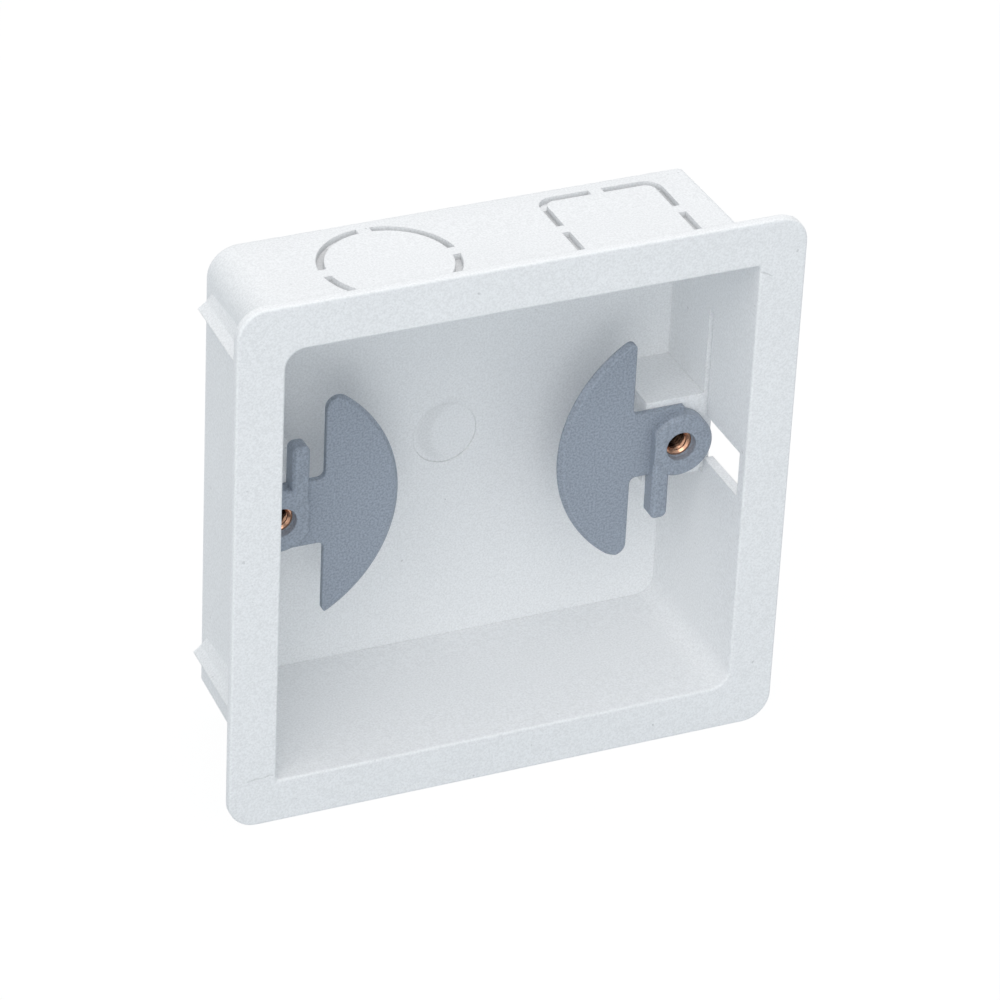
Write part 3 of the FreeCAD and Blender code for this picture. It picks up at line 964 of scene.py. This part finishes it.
    def dress(self, piece: bpy.types.Object) -> None:
        """Gives the piece its finish and its place in the model.

        Args:
            piece: the built insert.
        """
        piece.data.materials.append(shared_material(self.finish))
        smooth_by_angle(piece, self.smooth_degrees)
        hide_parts(self.node)
        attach(piece, f"{self.side.label}_lug")


@dataclass(frozen=True)
class SoftLamp:
    """A square soft lamp that points at the object.

    Attributes:
        name: name of the lamp.
        spot: place of the lamp.
        size: side of the lamp.
        power: power in watts.
        colour: colour of its light.
    """

    name: str
    spot: Spot
    size: float
    power: float
    colour: Colour

    def build(self) -> None:
        """Hangs the lamp in the scene."""
        data = bpy.data.lights.new(self.name, "AREA")
        data.size = self.size
        data.energy = self.power
        data.color = self.colour
        lamp = bpy.data.objects.new(self.name, data)
        lamp.location = self.spot
        lamp.rotation_euler = Vector(self.spot).to_track_quat("Z", "Y").to_euler()
        bpy.context.scene.collection.objects.link(lamp)


@dataclass
class Studio:
    """Floor, light and camera of the picture.

    Attributes:
        azimuth: turn of the camera to the left of the front.
        elevation: height of the camera as an angle.
        roll: tilt of the camera about its own axis.
        distance: distance from the camera to its aim.
        focal_pixels: focal length in pixels of the photograph.
        aim: point in the middle of the picture.
        image_pixels: width of the photograph in pixels.
        film: width of the camera's film, in millimetres.
        clip_start: nearest distance that the camera sees.
        clip_end: farthest distance that it sees.
        floor_half: half the side of the floor.
        floor_colour: colour that the floor throws back on the object.
        floor_white: share of white that the camera sees on the floor.
        floor_glow: strength of that white.
        sky_colour: colour of the even light.
        sky_strength: strength of the even light.
        lamps: the soft lamps.
    """

    azimuth: float = math.radians(24.554)
    elevation: float = math.radians(32.426)
    roll: float = math.radians(2.817)
    distance: float = 733.234 * MM
    focal_pixels: float = 5355.345
    aim: Spot = (-2.079 * MM, 0.0, 3.899 * MM)
    image_pixels: float = 1000.0
    film: float = 36.0
    clip_start: float = 0.05
    clip_end: float = 20.0
    floor_half: float = 3.0
    floor_colour: Colour = (0.58, 0.61, 0.635)
    floor_white: float = 0.94
    floor_glow: float = 1.035
    sky_colour: Colour = (0.925, 0.99, 1.03)
    sky_strength: float = 0.53
    lamps: tuple[SoftLamp, ...] = (
        SoftLamp("rear_lamp", spot=(0.35, 0.25, 1.1), size=0.9, power=3.3, colour=(1.065, 1.0, 0.98)),
        SoftLamp("top_lamp", spot=(-0.3, -0.6, 1.1), size=1.0, power=4.4, colour=(1.05, 1.0, 0.98)),
        SoftLamp("side_lamp", spot=(-1.15, -0.5, 0.8), size=1.2, power=2.75, colour=(1.015, 1.0, 0.99)),
        SoftLamp("front_lamp", spot=(-0.42, -1.15, 0.2), size=0.6, power=2.45, colour=(0.985, 1.0, 1.01)),
    )

    def build(self, ground: float) -> None:
        """Sets up everything round the object.

        Args:
            ground: height of the floor.
        """
        self.make_floor(ground)
        self.make_sky()
        for lamp in self.lamps:
            lamp.build()
        self.make_camera()

    def make_floor(self, ground: float) -> None:
        """Lays a pale floor that shows white to the camera and keeps a soft shadow.

        Args:
            ground: height of the floor.
        """
        half = self.floor_half
        corners = [
            (-half, -half, ground),
            (half, -half, ground),
            (half, half, ground),
            (-half, half, ground),
        ]
        data = bpy.data.meshes.new("floor")
        data.from_pydata(corners, [], [(0, 1, 2, 3)])
        floor = bpy.data.objects.new("floor", data)
        bpy.context.scene.collection.objects.link(floor)
        floor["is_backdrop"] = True
        material = bpy.data.materials.new("pale_floor")
        graph = Graph(material)
        diffuse = graph.add("BsdfDiffuse")
        diffuse.inputs["Color"].default_value = (*self.floor_colour, 1.0)
        white = graph.add("Emission")
        white.inputs["Strength"].default_value = self.floor_glow
        share = graph.math("MULTIPLY", self.seen_directly(graph), self.floor_white)
        graph.blend(share, diffuse, white, "OutputMaterial")
        data.materials.append(material)

    def make_sky(self) -> None:
        """Lights the scene evenly and shows white behind the object."""
        world = bpy.data.worlds.new("studio")
        bpy.context.scene.world = world
        graph = Graph(world)
        light = graph.add("Background")
        light.inputs["Color"].default_value = (*self.sky_colour, 1.0)
        light.inputs["Strength"].default_value = self.sky_strength
        white = graph.add("Background")
        white.inputs["Color"].default_value = (1.0, 1.0, 1.0, 1.0)
        graph.blend(self.seen_directly(graph), light, white, "OutputWorld")

    @staticmethod
    def seen_directly(graph: Graph) -> Any:
        """Tells the rays that show a surface from the rays that light one.

        Args:
            graph: the nodes of a material or a world.

        Returns:
            A socket that is 1 for camera, glossy and transmission rays.
        """
        rays = graph.add("LightPath").outputs
        seen = graph.math("ADD", rays["Is Camera Ray"], rays["Is Glossy Ray"], clamp=True)
        return graph.math("ADD", seen, rays["Is Transmission Ray"], clamp=True)

    def make_camera(self) -> None:
        """Places the camera at the photograph's viewing angle."""
        back = Vector((
            -math.sin(self.azimuth) * math.cos(self.elevation),
            -math.cos(self.azimuth) * math.cos(self.elevation),
            math.sin(self.elevation),
        ))
        level = Vector((math.cos(self.azimuth), -math.sin(self.azimuth), 0.0))
        upright = back.cross(level)
        right = math.cos(self.roll) * level + math.sin(self.roll) * upright
        up = math.cos(self.roll) * upright - math.sin(self.roll) * level
        eye = Vector(self.aim) + self.distance * back
        data = bpy.data.cameras.new("camera")
        data.sensor_width = self.film
        data.lens = self.film * self.focal_pixels / self.image_pixels
        data.clip_start = self.clip_start
        data.clip_end = self.clip_end
        camera = bpy.data.objects.new("camera", data)
        camera.matrix_world = Matrix((
            (right.x, up.x, back.x, eye.x),
            (right.y, up.y, back.y, eye.y),
            (right.z, up.z, back.z, eye.z),
            (0.0, 0.0, 0.0, 1.0),
        ))
        bpy.context.scene.collection.objects.link(camera)
        bpy.context.scene.camera = camera


def shared_material(finish: Finish) -> bpy.types.Material:
    """Finds or makes the material of a finish."""
    return bpy.data.materials.get(finish.name) or finish.material()


def dress_node(node: str, finish: Finish) -> bpy.types.Object:
    """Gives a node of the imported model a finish.

    Args:
        node: name of the node.
        finish: the finish.

    Returns:
        The node's object.
    """
    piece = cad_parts[node]
    piece.data.materials.clear()
    piece.data.materials.append(shared_material(finish))
    return piece


def smooth_by_angle(piece: bpy.types.Object, degrees: float) -> None:
    """Shades a piece smooth and keeps its sharp edges.

    Args:
        piece: the mesh object.
        degrees: edges that turn more than this stay sharp.
    """
    mesh = bmesh.new()
    mesh.from_mesh(piece.data)
    limit = math.radians(degrees)
    for face in mesh.faces:
        face.smooth = True
    for edge in mesh.edges:
        edge.smooth = len(edge.link_faces) == 2 and edge.calc_face_angle() < limit
    mesh.to_mesh(piece.data)
    mesh.free()


def as_lists(corners: tuple[Vector, Vector]) -> list[list[float]]:
    """Turns two corners into plain numbers."""
    return [[float(value) for value in corner] for corner in corners]


def main() -> None:
    """Builds the object's pieces in order, then the studio."""
    logging.basicConfig(level=logging.INFO, format="%(name)s: %(message)s")
    bpy.context.scene.view_settings.view_transform = "Standard"
    cad_box = as_lists(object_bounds())

    box = BackBox().dress()
    log.info("dressed %s", box.name)
    for side in Side:
        lug = SwingLug(side).dress()
        log.info("dressed %s", lug.name)
        insert = ThreadedInsert(side)
        piece = insert.build()
        insert.dress(piece)
        log.info("built %s with %d faces", piece.name, len(piece.data.polygons))

    Studio().build(cad_box[0][2])


if __name__ == "__main__":
    main()
